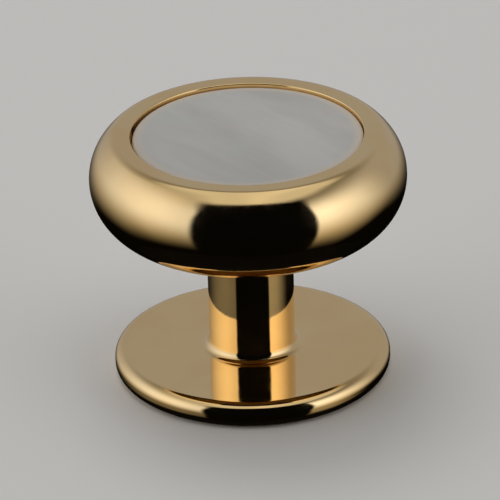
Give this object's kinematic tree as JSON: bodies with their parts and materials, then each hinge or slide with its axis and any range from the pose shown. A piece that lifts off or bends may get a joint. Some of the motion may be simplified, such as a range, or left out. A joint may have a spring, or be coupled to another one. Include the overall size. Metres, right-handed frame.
{
  "type": "dress shirt stud",
  "caption": "Dress shirt stud: bulging round gold-plated head with a flat mother-of-pearl inlay, on a short post with a round back disc.",
  "frame": {"origin": "centre of the back disc's underside, which the stud stands on", "axes": "+Z along the stud's axis, from the back disc through the post to the inlay's face; +X and +Y are any two directions across it, because the stud is round"},
  "size_m": [0.011, 0.011, 0.009],
  "materials": {
    "polished_gold": "gold plate, mirror polished",
    "mother_of_pearl": "polished shell with soft pale streaks"
  },
  "bodies": {
    "root": {"stud_body": "polished_gold", "pearl_inlay": "mother_of_pearl"}
  },
  "joints": []
}
